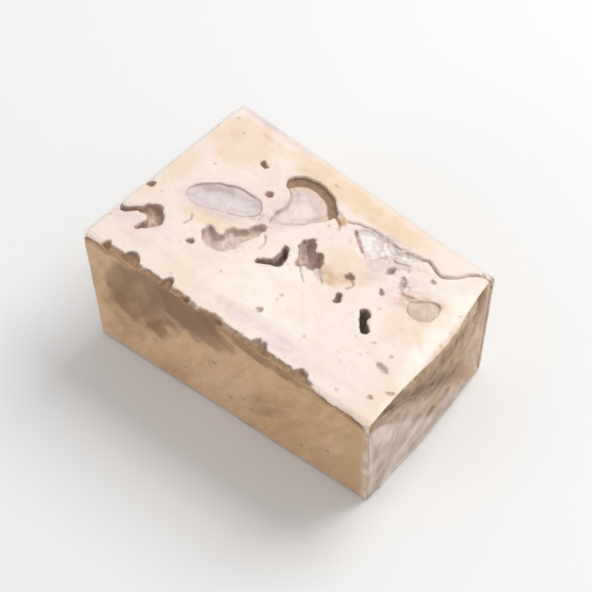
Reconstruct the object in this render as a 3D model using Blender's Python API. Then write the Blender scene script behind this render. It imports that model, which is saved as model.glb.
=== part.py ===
"""A hand-cut block of almond nougat between two wafer sheets, wrapped in clear film.

The block lies on one of its two cut faces. +X runs along its length, -Y is the front wafer, +Z is up, and the
origin is below its middle, on the surface that it lies on. Each cut face has torn air pockets, and almonds that
the knife went through lie in the top one. The folded ends of the film are solids, and the film along the four
long faces is too thin to be one. Lengths are in millimetres, and MM turns them into metres.
"""

import math
import random

import bmesh
import bpy
from mathutils import Vector

MM = 0.001

# The straight block that every piece is drawn in, over its wrapping.
LENGTH = 63.4
WIDTH = 42.4
HEIGHT = 28.2

# Where the hand-cut block's corners are: (end, side, height), 0 for left, front and bottom.
CORNERS = {
    (0, 0, 0): Vector((-29.0, -20.9, 0.0)),
    (1, 0, 0): Vector((31.2, -18.6, 0.0)),
    (0, 1, 0): Vector((-27.6, 20.2, 0.0)),
    (1, 1, 0): Vector((30.4, 17.2, 0.0)),
    (0, 0, 1): Vector((-31.7, -21.2, 28.6)),
    (1, 0, 1): Vector((31.7, -21.0, 27.2)),
    (0, 1, 1): Vector((-29.2, 21.2, 28.2)),
    (1, 1, 1): Vector((29.6, 18.2, 27.5)),
}

WAFER = 0.8
GAP = 0.3
FILM_LAYER = 0.35
FILM_END = 3 * FILM_LAYER
WAFER_DROP = 0.4
GRID_STEP = 3.5
EDGE_ROUND = 0.6
BACK_SLUMP = 1.3
BACK_SLUMP_REACH = 7.0
CUTTER_ABOVE = 2.0
WALL_LEAN = 0.25

# Outlines of the torn pockets in the top face, as (x, y), and each pocket's depth.
POCKETS = {
    "hook": (
        1.9,
        [(-30.6, -12.1), (-29.4, -11.8), (-27.2, -9.9), (-26.0, -8.1), (-24.5, -7.6), (-23.3, -8.6),
         (-22.0, -10.6), (-23.0, -12.6), (-24.7, -14.2), (-25.3, -13.6), (-24.7, -12.1), (-25.0, -11.0),
         (-26.7, -11.0), (-29.0, -12.8), (-30.6, -13.1)],
    ),
    "torn": (
        1.5,
        [(-15.6, -5.4), (-12.7, -5.8), (-12.1, -3.2), (-10.2, -2.1), (-8.8, 0.7), (-7.2, 0.2),
         (-7.9, -2.6), (-8.9, -4.6), (-9.8, -7.6), (-12.5, -9.1), (-15.2, -8.1)],
    ),
    "leaf": (
        3.0,
        [(-0.9, 1.9), (0.4, 4.1), (1.5, 3.2), (2.5, 1.9), (3.5, 2.5), (4.8, 0.7), (5.2, -0.2), (6.6, -1.5),
         (7.4, -3.0), (5.0, -1.9), (3.0, -1.7), (1.3, -2.4), (0.4, -0.6)],
    ),
    "bent_slit": (
        2.6,
        [(-2.7, -0.5), (-1.5, -0.6), (-0.5, -2.9), (-0.7, -4.6), (-2.3, -5.4), (-4.3, -6.4), (-4.6, -5.6),
         (-2.6, -4.2), (-2.2, -2.6)],
    ),
    "dark_slit": (
        3.2,
        [(15.7, -3.2), (16.7, -2.1), (17.9, -2.7), (17.8, -3.7), (19.6, -5.6), (18.8, -6.4), (17.5, -5.5)],
    ),
    "shallow": (
        0.8,
        [(5.2, 9.6), (6.6, 8.5), (8.5, 7.1), (10.2, 6.2), (11.6, 7.4), (12.6, 9.4), (15.6, 10.4), (17.6, 12.4),
         (16.0, 12.8), (12.6, 11.3), (10.1, 12.5), (6.5, 11.8)],
    ),
}

# Small round holes in the top face: x, y, length, width, turn in degrees, depth.
HOLES = [
    (-29.3, -5.0, 1.8, 1.3, 60, 1.2),
    (-16.7, 11.4, 2.2, 1.4, -25, 1.2),
    (-11.8, 6.7, 1.7, 1.4, 0, 1.2),
    (-15.9, -10.2, 1.7, 1.4, 20, 1.0),
    (10.0, 1.6, 1.8, 1.4, 30, 1.2),
    (11.3, -3.4, 2.6, 1.6, 100, 1.8),
    (14.8, 7.1, 2.2, 1.4, 80, 1.2),
    (18.3, 5.9, 1.8, 1.2, 110, 1.0),
    (16.3, 2.4, 1.8, 1.3, 130, 1.0),
    (25.6, -9.9, 3.0, 1.3, -15, 0.7),
    (2.5, -13.8, 1.4, 1.0, 20, 0.7),
]

# Almonds that the knife went through: how deep the nut reaches, how far it is sunk, outline of its cut face.
ALMONDS = {
    "almond_long": (
        4.2, 0.25,
        [(-23.7, -1.8), (-22.7, 0.6), (-20.6, 2.7), (-17.6, 4.2), (-14.4, 4.8), (-12.0, 4.5), (-10.4, 3.0),
         (-10.8, 0.9), (-13.2, -0.8), (-16.6, -2.1), (-19.6, -3.3), (-22.2, -3.6)],
    ),
    "almond_skinned": (
        4.6, 0.5,
        [(-11.4, 11.8), (-9.8, 13.8), (-6.6, 14.7), (-3.3, 14.1), (-1.0, 12.4), (0.5, 10.4), (-0.8, 7.9),
         (-3.0, 5.2), (-5.6, 3.0), (-7.9, 1.7), (-8.5, 3.9), (-8.1, 6.6), (-8.9, 9.0), (-10.6, 10.2)],
    ),
    "almond_end": (
        3.6, 0.2,
        [(21.0, 3.9), (22.0, 1.9), (24.0, 1.4), (26.0, 2.4), (26.6, 4.4), (26.0, 6.4), (24.4, 6.6), (22.6, 5.4)],
    ),
}
ALMOND_STEPS = 3
ALMOND_RINGS = 5

# Chips along the front edge of the top face, where the wafer shows: x, width, reach in from the outer edge.
CHIPS = [(-26.3, 1.8, 2.3), (-21.0, 4.2, 2.9), (-13.0, 2.8, 2.9), (-8.5, 2.4, 1.6), (-1.5, 4.0, 2.0),
         (7.0, 4.2, 2.8), (16.0, 3.6, 2.7), (26.5, 2.8, 1.6)]
CHIP_DEPTH = 1.5

# The underside is the other cut face. Its pockets are turned copies: name, x, y, turn.
UNDER_POCKETS = [("torn", 12.0, -6.0, 150), ("leaf", -14.0, 7.0, 75), ("hook", -6.0, -12.0, 200),
                 ("dark_slit", 17.0, 9.0, 40), ("bent_slit", -22.0, -4.0, 110)]
UNDER_HOLES = 9
UNDER_MARGIN = 4.5
SEED = 7

# The folded film at an end, seen square-on as (across, up) with 0, 0 at the end's middle and bottom.
TOP_FLAP = [(-20.6, 27.6), (20.6, 27.6), (16.6, 19.5), (15.8, 2.6), (11.4, 2.6), (0.0, 12.2)]
BOTTOM_FLAP = [(-20.6, 0.6), (20.6, 0.6), (13.0, 8.6), (-12.6, 8.6)]
FILM_MARGIN = 0.3


def clear_scene():
    for obj in list(bpy.data.objects):
        bpy.data.objects.remove(obj, do_unlink=True)


def material(name, colour, roughness):
    made = bpy.data.materials.new(name)
    made.use_nodes = True
    shader = made.node_tree.nodes["Principled BSDF"]
    shader.inputs["Base Color"].default_value = (*colour, 1.0)
    shader.inputs["Roughness"].default_value = roughness
    made.diffuse_color = (*colour, 1.0)
    return made


def in_block(x, y, z):
    """Where a point of the straight block is in the hand-cut one, whose top has slumped along its back edge."""
    along = x / LENGTH + 0.5
    across = y / WIDTH + 0.5
    up = z / HEIGHT
    point = Vector((0.0, 0.0, 0.0))
    for (i, j, k), corner in CORNERS.items():
        share = (along if i else 1 - along) * (across if j else 1 - across) * (up if k else 1 - up)
        point += share * corner
    into_slump = max(0.0, (y - WIDTH / 2 + BACK_SLUMP_REACH) / BACK_SLUMP_REACH)
    point.z -= up ** 2 * BACK_SLUMP * into_slump ** 2
    return point


def top_height(x, y):
    return in_block(x, y, HEIGHT).z


def add_object(name, mesh_data, surface):
    """Makes an object from a bmesh in millimetres."""
    bmesh.ops.recalc_face_normals(mesh_data, faces=mesh_data.faces)
    bmesh.ops.scale(mesh_data, vec=(MM, MM, MM), verts=mesh_data.verts)
    mesh = bpy.data.meshes.new(name)
    mesh_data.to_mesh(mesh)
    mesh_data.free()
    obj = bpy.data.objects.new(name, mesh)
    bpy.context.scene.collection.objects.link(obj)
    if surface is not None:
        mesh.materials.append(surface)
    return obj


def slab(name, low, high, surface):
    """A box of the straight block, cut into a grid and moved to the hand-cut shape."""
    made = bmesh.new()
    bmesh.ops.create_cube(made, size=1.0)
    middle = [(a + b) / 2 for a, b in zip(low, high)]
    sides = [b - a for a, b in zip(low, high)]
    for vert in made.verts:
        vert.co = Vector([m + s * c for m, s, c in zip(middle, sides, vert.co)])
    for axis in range(3):
        normal = Vector([1.0 if a == axis else 0.0 for a in range(3)])
        count = max(1, round(sides[axis] / GRID_STEP))
        for step in range(1, count):
            at = normal * (low[axis] + sides[axis] * step / count)
            whole = list(made.verts) + list(made.edges) + list(made.faces)
            bmesh.ops.bisect_plane(made, geom=whole, plane_co=at, plane_no=normal)
    for vert in made.verts:
        vert.co = in_block(*vert.co)
    return add_object(name, made, surface)


def inset(outline, distance):
    """The outline moved inwards at every point; it runs either way round."""
    area = sum(a[0] * b[1] - b[0] * a[1] for a, b in zip(outline, outline[1:] + outline[:1]))
    side = 1 if area > 0 else -1
    moved = []
    for before, point, after in zip(outline[-1:] + outline[:-1], outline, outline[1:] + outline[:1]):
        along = (Vector(after) - Vector(before)).normalized()
        moved.append((point[0] - side * along.y * distance, point[1] + side * along.x * distance))
    return moved


def middle_of(outline):
    return sum(p[0] for p in outline) / len(outline), sum(p[1] for p in outline) / len(outline)


def smooth_outline(outline, steps):
    """A closed smooth curve through the outline's points, with steps sides between one point and the next."""
    points = []
    count = len(outline)
    for i in range(count):
        before, start, end, after = (Vector(outline[(i + n) % count]) for n in (-1, 0, 1, 2))
        for step in range(steps):
            t = step / steps
            bend = (end - before) * t + (2 * before - 5 * start + 4 * end - after) * t ** 2
            bend += (3 * start - before - 3 * end + after) * t ** 3
            points.append(tuple(start + bend / 2))
    return points


def oval(x, y, length, width, turn, sides, seed):
    """An uneven oval outline."""
    draws = random.Random(seed)
    spin = math.radians(turn)
    points = []
    for step in range(sides):
        angle = 2 * math.pi * step / sides
        reach = draws.uniform(0.82, 1.12)
        along = reach * length / 2 * math.cos(angle)
        across = reach * width / 2 * math.sin(angle)
        points.append((x + along * math.cos(spin) - across * math.sin(spin),
                       y + along * math.sin(spin) + across * math.cos(spin)))
    return points


def loft(name, rings, surface=None):
    """Joins closed rings of 3-D points, each with the same number, and caps both ends."""
    made = bmesh.new()
    loops = [[made.verts.new(point) for point in ring] for ring in rings]
    for lower, upper in zip(loops, loops[1:]):
        for i in range(len(lower)):
            j = (i + 1) % len(lower)
            made.faces.new((lower[i], lower[j], upper[j], upper[i]))
    made.faces.new(reversed(loops[0]))
    made.faces.new(loops[-1])
    return add_object(name, made, surface)


def level(outline, height):
    return [(x, y, height) for x, y in outline]


def pocket_cutter(name, outline, depth, top=True):
    """Cuts a pocket down from the top face, or up from the underside."""
    face = top_height(*middle_of(outline)) if top else 0.0
    inward = -1 if top else 1
    rings = [level(inset(outline, WALL_LEAN), face + inward * depth),
             level(outline, face + inward * depth * 0.45),
             level(outline, face - inward * CUTTER_ABOVE)]
    return loft(name, rings if top else rings[::-1])


def almond_rings(values, grow):
    """Rings from a nut's lowest point up to its cut face, all grown by the gap for its socket."""
    depth, sunk, outline = values
    x, y = middle_of(outline)
    face = top_height(x, y) - sunk
    cut_face = inset(smooth_outline(outline, ALMOND_STEPS), -grow)
    rings = []
    for step in range(1, ALMOND_RINGS + 1):
        angle = math.pi / 2 * step / ALMOND_RINGS
        share = math.sin(angle)
        ring = [(x + (px - x) * share, y + (py - y) * share) for px, py in cut_face]
        rings.append(level(ring, face - (depth + grow) * math.cos(angle)))
    return rings


def almond(name, values, surface):
    return loft(name, almond_rings(values, 0.0), surface)


def almond_socket(name, values):
    rings = almond_rings(values, GAP)
    top = [(px, py, pz + CUTTER_ABOVE) for px, py, pz in rings[-1]]
    return loft(name, rings + [top])


def chip_cutter(name, x, width, reach):
    """A scoop out of the front edge of the top face."""
    edge = in_block(x, -WIDTH / 2, HEIGHT)
    outline = [(edge.x - width / 2, edge.y - 1.0), (edge.x - width / 3, edge.y + reach * 0.6),
               (edge.x - width / 12, edge.y + reach), (edge.x + width / 4, edge.y + reach * 0.75),
               (edge.x + width / 2, edge.y - 1.0)]
    rings = [level(inset(outline, WALL_LEAN), edge.z - CHIP_DEPTH), level(outline, edge.z + CUTTER_ABOVE)]
    return loft(name, rings)


def turned_copy(outline, x, y, turn):
    """The outline about its own middle, turned and put at x, y."""
    spin = math.radians(turn)
    middle_x, middle_y = middle_of(outline)
    return [(x + (px - middle_x) * math.cos(spin) - (py - middle_y) * math.sin(spin),
             y + (px - middle_x) * math.sin(spin) + (py - middle_y) * math.cos(spin)) for px, py in outline]


def all_cutters():
    cutters = []
    for name, (depth, outline) in POCKETS.items():
        cutters.append(pocket_cutter(f"cut_{name}", outline, depth))
    for count, (x, y, length, width, turn, depth) in enumerate(HOLES):
        cutters.append(pocket_cutter(f"cut_hole_{count}", oval(x, y, length, width, turn, 8, seed=count), depth))
    for name, values in ALMONDS.items():
        cutters.append(almond_socket(f"cut_{name}", values))
    for count, (x, width, reach) in enumerate(CHIPS):
        cutters.append(chip_cutter(f"cut_chip_{count}", x, width, reach))
    for count, (name, x, y, turn) in enumerate(UNDER_POCKETS):
        depth, outline = POCKETS[name]
        cutters.append(pocket_cutter(f"cut_under_{count}", turned_copy(outline, x, y, turn), depth, top=False))
    draws = random.Random(SEED)
    for count in range(UNDER_HOLES):
        x = draws.uniform(-LENGTH / 2 + UNDER_MARGIN, LENGTH / 2 - UNDER_MARGIN)
        y = draws.uniform(-WIDTH / 2 + UNDER_MARGIN, WIDTH / 2 - UNDER_MARGIN)
        outline = oval(x, y, draws.uniform(1.3, 2.6), draws.uniform(1.0, 1.6), draws.uniform(0, 180), 8, seed=count)
        cutters.append(pocket_cutter(f"cut_under_hole_{count}", outline, draws.uniform(0.8, 1.6), top=False))
    return cutters


def hide(obj, collection):
    """Makes an object a helper that only a Boolean uses."""
    obj.hide_render = True
    obj.display_type = "WIRE"
    bpy.context.scene.collection.objects.unlink(obj)
    collection.objects.link(obj)


def boolean(obj, operation, helpers):
    group = bpy.data.collections.new(f"{obj.name}_{operation.lower()}")
    bpy.context.scene.collection.children.link(group)
    for helper in helpers:
        hide(helper, group)
    modifier = obj.modifiers.new(operation.title(), "BOOLEAN")
    modifier.operation = operation
    modifier.solver = "EXACT"
    modifier.operand_type = "COLLECTION"
    modifier.collection = group


def nougat(surface):
    low = (-LENGTH / 2 + FILM_END + GAP, -WIDTH / 2 + WAFER + GAP, 0.0)
    high = (LENGTH / 2 - FILM_END - GAP, WIDTH / 2 - WAFER - GAP, HEIGHT)
    core = slab("nougat", low, high, surface)
    rounding = core.modifiers.new("Edges", "BEVEL")
    rounding.width = EDGE_ROUND * MM
    rounding.segments = 2
    rounding.limit_method = "ANGLE"
    rounding.angle_limit = math.radians(50)
    boolean(core, "DIFFERENCE", all_cutters())
    return core


def wafer(name, side, surface):
    """side is -1 for the front sheet and 1 for the back one."""
    outer = side * WIDTH / 2
    inner = side * (WIDTH / 2 - WAFER)
    half = LENGTH / 2 - FILM_END - GAP
    low = (-half, min(outer, inner), 0.0)
    high = (half, max(outer, inner), HEIGHT - WAFER_DROP)
    return slab(name, low, high, surface)


def flap(name, outline, end, inner, outer):
    """One folded layer: an outline across the end, between two distances from the block's middle."""
    rings = []
    for distance in sorted((end * inner, end * outer)):
        rings.append([in_block(distance, across, up) for across, up in outline])
    return loft(name, rings)


def film_end(name, end, surface):
    """The folded film on one end: tucked sides at the bottom of the pile, then the lower and the upper flap."""
    outer = LENGTH / 2
    inner = outer - FILM_END
    half = WIDTH / 2
    low = (min(end * inner, end * (inner + FILM_LAYER)), -half, 0.0)
    high = (max(end * inner, end * (inner + FILM_LAYER)), half, HEIGHT - FILM_MARGIN)
    made = slab(name, low, high, surface)
    bite = inner + FILM_LAYER / 2
    lower = flap(f"{name}_lower", BOTTOM_FLAP, end, bite, inner + 2 * FILM_LAYER)
    upper = flap(f"{name}_upper", TOP_FLAP, end, bite, outer)
    boolean(made, "UNION", [lower, upper])
    return made


def main():
    clear_scene()
    cream = material("nougat_cream", (0.93, 0.79, 0.62), 0.45)
    tan = material("wafer_tan", (0.50, 0.34, 0.21), 0.75)
    nut = material("almond_white", (0.78, 0.70, 0.66), 0.5)
    film = material("film_folds", (0.68, 0.63, 0.58), 0.15)
    nougat(cream)
    wafer("wafer_front", -1, tan)
    wafer("wafer_back", 1, tan)
    for name, values in ALMONDS.items():
        almond(name, values, nut)
    film_end("film_end_left", -1, film)
    film_end("film_end_right", 1, film)


main()
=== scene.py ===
"""Looks of the wrapped nougat block: nougat, wafer sheets and almonds, and the clear film around them.

Lengths are in millimetres until a mesh is made, and MM turns them into metres. The block's corners and the
outlines of its pockets are the same named values as in the model.
"""

import math
import random

import bpy
import numpy as np
from mathutils import Matrix, Vector

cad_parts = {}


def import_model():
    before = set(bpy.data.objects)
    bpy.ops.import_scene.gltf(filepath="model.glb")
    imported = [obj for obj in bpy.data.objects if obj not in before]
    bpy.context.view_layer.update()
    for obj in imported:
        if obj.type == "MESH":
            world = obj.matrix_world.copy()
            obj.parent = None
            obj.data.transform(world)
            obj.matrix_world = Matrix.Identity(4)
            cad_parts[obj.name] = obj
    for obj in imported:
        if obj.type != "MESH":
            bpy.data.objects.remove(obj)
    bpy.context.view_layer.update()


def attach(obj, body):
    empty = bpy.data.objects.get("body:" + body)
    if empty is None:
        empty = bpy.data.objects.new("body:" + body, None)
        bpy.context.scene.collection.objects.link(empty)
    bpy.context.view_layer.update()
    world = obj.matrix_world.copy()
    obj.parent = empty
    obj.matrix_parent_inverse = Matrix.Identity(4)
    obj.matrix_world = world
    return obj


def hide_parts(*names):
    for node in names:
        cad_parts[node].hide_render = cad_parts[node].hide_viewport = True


MM = 0.001

LENGTH = 63.4
WIDTH = 42.4
HEIGHT = 28.2
CORNERS = {
    (0, 0, 0): (-29.0, -20.9, 0.0),
    (1, 0, 0): (31.2, -18.6, 0.0),
    (0, 1, 0): (-27.6, 20.2, 0.0),
    (1, 1, 0): (30.4, 17.2, 0.0),
    (0, 0, 1): (-31.7, -21.2, 28.6),
    (1, 0, 1): (31.7, -21.0, 27.2),
    (0, 1, 1): (-29.2, 21.2, 28.2),
    (1, 1, 1): (29.6, 18.2, 27.5),
}
BACK_SLUMP = 1.3
BACK_SLUMP_REACH = 7.0
END_BULGE = 1.3
END_BULGE_Y = 3.0
END_BULGE_REACH = 11.0
END_DROOP = 1.0
WAFER = 0.8
GAP = 0.3

# How far in from the straight block's faces things are, and how round the edges are.
NOUGAT_END = 0.55
NOUGAT_TOP = 0.32
NOUGAT_ROUND = 0.55
NOUGAT_LIP = 0.75
CRUST_LIP = 0.5
WAFER_FACE = 0.22
SKIN_END = 0.4
SKIN_FACE = 0.06
SKIN_BOTTOM = 0.12
SKIN_ROUND = 0.5

# How far apart the nougat's points are, and how many triangles it may have.
GRID = 0.17
MOST_TRIANGLES = 190000

# Torn pockets: depth, tone of the floor (0 lavender, 0.5 light brown, 1 dark), width of the wall, outline.
# The lavender is partly painted shade and film reflection over paler nougat, and the dark end is painted
# shade in deep holes.
POCKETS = {
    "hook": (
        1.9, 0.42, 0.4,
        [(-31.4, -12.0), (-29.4, -11.8), (-27.2, -9.9), (-26.0, -8.1), (-24.5, -7.6), (-23.3, -8.6),
         (-22.0, -10.6), (-23.0, -12.6), (-24.7, -14.2), (-25.3, -13.6), (-24.7, -12.1), (-25.0, -11.0),
         (-26.7, -11.0), (-29.0, -12.8), (-31.4, -13.0)],
    ),
    "torn": (
        1.5, 0.30, 0.45,
        [(-15.6, -5.4), (-12.7, -5.8), (-12.1, -3.2), (-10.2, -2.1), (-8.8, 0.7), (-7.2, 0.2),
         (-7.9, -2.6), (-8.9, -4.6), (-9.8, -7.6), (-12.5, -9.1), (-15.2, -8.1)],
    ),
    "leaf": (
        3.0, 0.32, 0.6,
        [(-0.9, 1.9), (0.4, 4.1), (1.5, 3.2), (2.5, 1.9), (3.5, 2.5), (4.8, 0.7), (5.2, -0.2), (6.6, -1.5),
         (7.4, -3.0), (5.0, -1.9), (3.0, -1.7), (1.3, -2.4), (0.4, -0.6)],
    ),
    "bent_slit": (
        2.6, 0.72, 0.4,
        [(-2.7, -0.5), (-1.5, -0.6), (-0.5, -2.9), (-0.7, -4.6), (-2.3, -5.4), (-4.3, -6.4), (-4.6, -5.6),
         (-2.6, -4.2), (-2.2, -2.6)],
    ),
    "dark_slit": (
        3.2, 1.0, 0.3,
        [(15.7, -3.2), (16.7, -2.1), (17.9, -2.7), (17.8, -3.7), (19.6, -5.6), (18.8, -6.4), (17.5, -5.5)],
    ),
    "shallow": (
        0.8, 0.0, 0.9,
        [(5.2, 9.6), (6.6, 8.5), (8.5, 7.1), (10.2, 6.2), (11.6, 7.4), (12.6, 9.4), (15.6, 10.4),
         (17.6, 12.4), (16.0, 12.8), (12.6, 11.3), (10.1, 12.5), (6.5, 11.8)],
    ),
}

# Small round holes: x, y, length, width, turn in degrees, depth, tone.
HOLES = [
    (-29.3, -5.0, 1.8, 1.3, 60, 1.2, 0.52),
    (-16.7, 11.4, 2.2, 1.4, -25, 1.2, 0.52),
    (-11.8, 6.7, 1.7, 1.4, 0, 1.2, 0.52),
    (-15.9, -10.2, 1.7, 1.4, 20, 1.0, 0.52),
    (10.0, 1.6, 1.8, 1.4, 30, 1.2, 0.45),
    (11.3, -3.4, 2.6, 1.6, 100, 1.8, 0.62),
    (14.8, 7.1, 2.2, 1.4, 80, 1.2, 0.25),
    (18.3, 5.9, 1.8, 1.2, 110, 1.0, 0.20),
    (16.3, 2.4, 1.8, 1.3, 130, 1.0, 0.20),
    (25.6, -9.9, 3.0, 1.3, -15, 0.7, 0.20),
    (2.5, -13.8, 1.4, 1.0, 20, 0.7, 0.30),
    (6.0, 9.3, 3.2, 1.1, -32, 0.9, 0.48),
    (8.0, 7.7, 2.6, 1.0, -48, 0.8, 0.42),
    (14.4, 11.7, 2.2, 1.1, 20, 0.6, 0.30),
    (21.8, 9.9, 1.3, 0.9, 0, 0.5, 0.30),
    (17.6, 7.0, 1.6, 0.8, -60, 0.6, 0.35),
    (29.6, -13.0, 1.8, 1.0, 30, 0.5, 0.25),
    (27.4, -15.8, 1.4, 1.0, 0, 0.5, 0.25),
]
HOLE_WALL = 0.45

# Fine air bubbles scattered over both cut faces.
BUBBLES = 34
BUBBLE_SIZES = (0.3, 0.7)
BUBBLE_AREA = ((-30, 30), (-19, 17))
BUBBLE_SEED = 5

# Cracks in the top face, too fine for the model: depth, width, and the points that each runs through.
CRACKS = [
    (1.0, 0.50, [(17.6, 12.5), (18.7, 13.0), (20.5, 12.3), (22.4, 11.8), (24.4, 13.4), (26.2, 15.9),
                 (27.6, 17.1), (29.0, 16.9), (30.2, 15.6), (31.6, 14.0)]),
    (0.5, 0.40, [(2.5, 10.9), (5.5, 11.9), (9.0, 12.3), (12.5, 11.8), (15.5, 12.2), (17.6, 12.5)]),
    (0.5, 0.45, [(5.4, 9.3), (7.4, 8.4), (9.8, 6.6)]),
    (0.4, 0.40, [(-19.2, -5.6), (-18.8, -6.6), (-19.2, -8.0)]),
    (0.35, 0.40, [(-6.6, -1.0), (-5.6, -2.2), (-5.8, -3.8)]),
    (0.45, 0.45, [(17.5, 6.8), (18.2, 5.2), (19.4, 4.4), (21.2, 4.9)]),
    (0.45, 0.50, [(0.4, 10.4), (1.5, 9.8), (2.3, 8.4)]),
    (0.35, 0.40, [(9.8, 12.0), (10.6, 10.4), (12.2, 9.2), (12.6, 7.8)]),
    (0.35, 0.40, [(13.0, 9.6), (14.6, 9.0), (16.2, 9.8), (17.4, 8.8)]),
    (0.35, 0.35, [(1.6, -1.8), (3.2, -3.4), (4.6, -4.4)]),
    (0.45, 0.45, [(11.0, -0.8), (11.6, 0.4), (10.6, 1.2)]),
]

# The crack that goes on down the right end, as (y, z), and how wide it is at its top.
END_CRACK = [(15.4, 28.6), (14.4, 26.2), (13.6, 23.4), (12.8, 20.4), (13.0, 17.4)]
END_CRACK_WIDTH = 2.5
END_CRACK_DEPTH = 1.6

# Soft patches of colour on the top face: x, y, length, width, turn, strength. The lavender is partly the
# drier, paler nougat where the film does not touch it and partly painted shade and film reflection; the
# lavender strip at y -17.2 along the front edge is painted shade.
LAVENDER_PATCHES = [
    (-17.4, 0.3, 17, 9, 22, 0.8), (-7.0, 5.0, 16, 8, 50, 0.7), (9.8, 10.2, 13, 6, 8, 1.0),
    (16.5, 8.5, 9, 8, 20, 0.7), (-12.0, -6.5, 9, 5, 15, 0.6), (20.0, 5.0, 11, 7, 10, 0.6),
    (-25.0, -13.0, 14, 9, 0, 0.45), (-20.0, 20.0, 22, 3, -3, 0.8), (4.0, -17.2, 28, 3.5, 0, 0.6),
    (14.0, 6.5, 10, 6, 60, 0.7),
]
BUTTER_PATCHES = [
    (0.0, 15.8, 36, 6, -3, 1.0), (8.5, 2.6, 15, 9, 15, 0.6), (-17.0, -4.6, 12, 4, 5, 0.6),
    (-23.0, 13.5, 13, 13, 0, 0.65), (7.6, -0.9, 7, 3, 10, 0.8), (24.0, 1.0, 12, 14, 0, 0.45),
    (-28.0, 2.0, 5, 12, 0, 0.4), (-6.0, 17.5, 20, 3, -3, 0.8),
]
# The two tan patches at x 31 and 31.6 are painted shade where the top face rounds over onto the right end.
TAN_PATCHES = [
    (6.4, -0.5, 6.5, 2.8, -28, 0.75), (9.6, 0.4, 4.0, 2.6, 10, 0.6), (23.8, 4.0, 9.5, 7.5, 20, 0.4),
    (1.4, 10.4, 4.2, 2.0, -35, 0.9), (-19.0, 17.0, 6.0, 1.2, 0, 0.3), (6.8, 8.6, 5.0, 1.4, -38, 0.7),
    (-10.4, 1.2, 3.4, 1.6, 60, 0.4), (31.0, 6.0, 2.6, 26.0, 0, 0.6), (31.6, -12.0, 2.2, 16.0, 0, 0.35),
]

# Crumbly parts of the cut face, and where a pocket is only a shallow smear, with the same kinds of values.
CRUMBLY_PATCHES = [(12.6, 9.4, 13, 6.5, 10, 1.0), (20.4, 5.6, 10, 5.5, -8, 0.8),
                   (-12.0, -6.8, 10, 5.5, 25, 0.8), (-9.0, 2.2, 6, 3, 50, 0.5)]
SMEARS = [(6.2, -1.7, 6.4, 4.4, -38, 0.95)]

# Creases in the film over the top face: how high each stands, and the points that it runs through.
FILM_CREASES = [
    (0.16, [(-29.0, 17.5), (-22.0, 19.0), (-14.0, 19.4)]),
    (0.10, [(-31.0, -16.5), (-20.0, -14.8), (-8.0, -16.6)]),
    (0.14, [(-4.0, -16.2), (8.0, -15.0), (19.0, -16.4), (30.0, -15.6)]),
    (0.12, [(29.6, -2.0), (27.0, 0.6), (24.6, -0.6)]),
    (0.12, [(8.0, 19.2), (18.0, 18.0), (28.6, 17.6)]),
    (0.08, [(-30.0, 6.0), (-25.0, 8.6), (-20.0, 8.0)]),
    (0.10, [(30.6, -12.0), (27.4, -13.4), (23.0, -12.6)]),
]

# Almonds that the knife went through: depth, how far sunk, how much the colour is the nougat's, outline.
ALMONDS = {
    "almond_long": (
        4.2, 0.25, 0.0,
        [(-23.7, -1.8), (-22.7, 0.6), (-20.6, 2.7), (-17.6, 4.2), (-14.4, 4.8), (-12.0, 4.5), (-10.4, 3.0),
         (-10.8, 0.9), (-13.2, -0.8), (-16.6, -2.1), (-19.6, -3.3), (-22.2, -3.6)],
    ),
    "almond_skinned": (
        4.6, 0.5, 0.2,
        [(-11.4, 11.8), (-9.8, 13.8), (-6.6, 14.7), (-3.3, 14.1), (-1.0, 12.4), (0.5, 10.4), (-0.8, 7.9),
         (-3.0, 5.2), (-5.6, 3.0), (-7.9, 1.7), (-8.5, 3.9), (-8.1, 6.6), (-8.9, 9.0), (-10.6, 10.2)],
    ),
    "almond_end": (
        3.6, 0.2, 0.85,
        [(21.0, 3.9), (22.0, 1.9), (24.0, 1.4), (26.0, 2.4), (26.6, 4.4), (26.0, 6.4), (24.4, 6.6),
         (22.6, 5.4)],
    ),
}
ALMOND_OVERLAP = 0.12
ALMOND_RINGS = 40
ALMOND_STEPS = 14

# The palest part of a cut nut: x, y, length, width, turn, strength.
PALE_PATCHES = [(-6.0, 6.2, 8.5, 6.0, 50, 0.9)]

# The thick brown band along one side of a nut, partly its skin and partly painted shadow in the gap to the
# nougat's rim: its width, and the points that it runs through.
SKIN_AND_SHADOW_ARC = (1.7, [(-11.6, 11.0), (-9.8, 13.4), (-6.6, 14.3), (-3.3, 13.7), (-1.0, 12.0), (0.6, 9.9)])

# Where the nougat ends along the front of the top face, and the chips in that line: x, width, reach.
FRONT_EDGE = [(-31.7, -21.0), (-28.0, -20.2), (-25.5, -19.4), (17.5, -19.5), (20.0, -20.4), (31.7, -20.9)]
FRONT_OUTER = -21.1
CHIPS = [(-26.3, 1.8, 2.3), (-21.0, 4.2, 2.9), (-13.0, 2.8, 2.9), (-8.5, 2.4, 1.6), (-1.5, 4.0, 2.0),
         (7.0, 4.2, 2.8), (16.0, 3.6, 2.7), (26.5, 2.8, 1.2)]
EDGE_DEPTH = 0.4
CHIP_DEPTH = 1.4
LIP_HEIGHT = 1.9
BACK_LIP_DROP = 1.5

# The underside: the pockets turned about and moved, as name, x, y and turn, and small holes.
UNDER_POCKETS = [("torn", 12.0, -6.0, 150), ("leaf", -14.0, 7.0, 75), ("hook", -6.0, -12.0, 200),
                 ("dark_slit", 17.0, 9.0, 40), ("bent_slit", -22.0, -4.0, 110)]
UNDER_HOLES = 9
UNDER_MARGIN = 4.5
UNDER_SEED = 7
UNDER_TONE = 0.4
UNDER_LENGTHS = (1.3, 2.6)
UNDER_WIDTHS = (1.0, 1.6)
UNDER_DEPTHS = (0.8, 1.6)

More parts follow.
